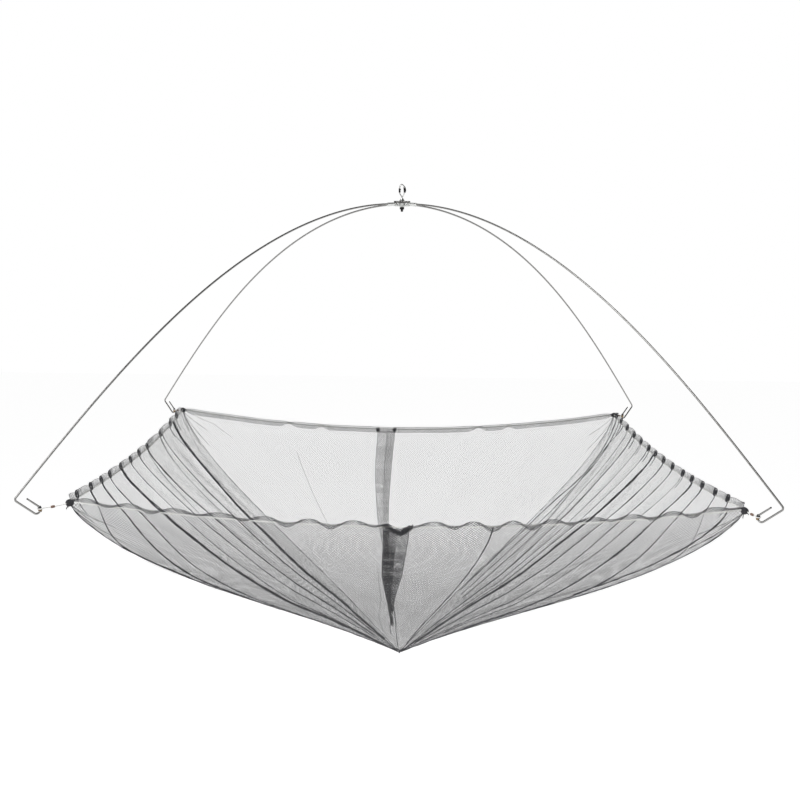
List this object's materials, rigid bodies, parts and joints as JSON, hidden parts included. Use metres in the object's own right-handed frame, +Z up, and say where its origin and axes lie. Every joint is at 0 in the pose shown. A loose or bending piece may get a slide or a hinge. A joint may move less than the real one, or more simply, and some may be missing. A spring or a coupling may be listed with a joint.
{
  "type": "umbrella net",
  "caption": "Square folding drop net: sprung wire arms hinged to a clamped hub under a swivelling snap link, with a pleated fine-mesh bag lashed between the arm hooks.",
  "frame": {"origin": "inner top of the snap link, where the net hangs on its line", "axes": "+Z up along the swivel axis, +X and +Y square to the sides of the net, -Y the side shown in front; the arms point at the four corners"},
  "size_m": [1.1064, 1.1064, 0.9038],
  "materials": {
    "bright_wire": "bright drawn wire",
    "black_steel": "blackened steel, satin",
    "zinc_plate": "bright zinc plating",
    "black_paint": "black enamel, satin",
    "spring_wire": "drawn spring steel wire",
    "white_cord": "braided white cord",
    "brown_cord": "tan lashing twine",
    "black_thread": "black lashing thread",
    "netting": "black knotless netting"
  },
  "bodies": {
    "link": {"snap_link": "bright_wire", "link_ferrule": "black_steel", "gate_rivet": "bright_wire"},
    "gate": {"snap_gate": "black_steel"},
    "hub": {"swivel_collar": "zinc_plate", "centre_bolt": "black_steel", "hub_top_plate": "black_paint", "hub_low_plate": "zinc_plate", "hub_spacer": "zinc_plate", "hub_washer": "zinc_plate", "hub_nut": "black_steel", "hinge_pin_front_left": "bright_wire", "hinge_pin_front_right": "bright_wire", "hinge_pin_rear_right": "bright_wire", "hinge_pin_rear_left": "bright_wire", "net_panel_front": "netting", "net_panel_right": "netting", "net_panel_rear": "netting", "net_panel_left": "netting", "rim_cord_front": "white_cord", "rim_cord_right": "white_cord", "rim_cord_rear": "white_cord", "rim_cord_left": "white_cord", "hem_front": "netting", "hem_right": "netting", "hem_rear": "netting", "hem_left": "netting", "front_pleat": "netting", "rear_pleat": "netting", "bag_tip_knot": "black_thread"},
    "arm_front_left": {"arm_socket_front_left": "zinc_plate", "arm_wire_front_left": "spring_wire", "corner_wrap_front_left": "brown_cord", "corner_cord_front_left": "white_cord", "corner_bead_front_left": "brown_cord", "corner_knot_front_left": "black_thread"},
    "arm_front_right": {"arm_socket_front_right": "zinc_plate", "arm_wire_front_right": "spring_wire", "corner_wrap_front_right": "brown_cord", "corner_cord_front_right": "white_cord", "corner_bead_front_right": "brown_cord", "corner_knot_front_right": "black_thread"},
    "arm_rear_right": {"arm_socket_rear_right": "zinc_plate", "arm_wire_rear_right": "spring_wire", "corner_wrap_rear_right": "brown_cord", "corner_cord_rear_right": "white_cord", "corner_bead_rear_right": "brown_cord", "corner_knot_rear_right": "black_thread"},
    "arm_rear_left": {"arm_socket_rear_left": "zinc_plate", "arm_wire_rear_left": "spring_wire", "corner_wrap_rear_left": "brown_cord", "corner_cord_rear_left": "white_cord", "corner_bead_rear_left": "brown_cord", "corner_knot_rear_left": "black_thread"}
  },
  "joints": [
    {"name": "swivel_turn", "type": "hinge", "parent": "link", "child": "hub", "pos_m": [0, 0, -0.0298], "axis": [0, 0, 1], "continuous": true},
    {"name": "gate_hinge", "type": "hinge", "parent": "link", "child": "gate", "pos_m": [0.0042, 0, -0.0048], "axis": [0, 1, 0], "range_deg": [0, 26], "stiffness_Nm_per_rad": 0.01, "springref_deg": -17.19},
    {"name": "arm_fold_front_left", "type": "hinge", "parent": "hub", "child": "arm_front_left", "pos_m": [-0.01273, -0.01273, -0.035], "axis": [0.7071, -0.7071, 0], "range_deg": [0, 50], "deforming": ["net_panel_front", "net_panel_right", "net_panel_rear", "net_panel_left", "rim_cord_front", "rim_cord_right", "rim_cord_rear", "rim_cord_left", "hem_front", "hem_right", "hem_rear", "hem_left", "front_pleat", "rear_pleat"]},
    {"name": "arm_fold_front_right", "type": "hinge", "parent": "hub", "child": "arm_front_right", "pos_m": [0.01273, -0.01273, -0.035], "axis": [0.7071, 0.7071, 0], "range_deg": [0, 50]},
    {"name": "arm_fold_rear_right", "type": "hinge", "parent": "hub", "child": "arm_rear_right", "pos_m": [0.01273, 0.01273, -0.035], "axis": [-0.7071, 0.7071, 0], "range_deg": [0, 50]},
    {"name": "arm_fold_rear_left", "type": "hinge", "parent": "hub", "child": "arm_rear_left", "pos_m": [-0.01273, 0.01273, -0.035], "axis": [-0.7071, -0.7071, 0], "range_deg": [0, 50]}
  ],
  "couplings": [
    {"joint": "arm_fold_front_right", "follows": "arm_fold_front_left", "ratio": 1},
    {"joint": "arm_fold_rear_right", "follows": "arm_fold_front_left", "ratio": 1},
    {"joint": "arm_fold_rear_left", "follows": "arm_fold_front_left", "ratio": 1}
  ]
}
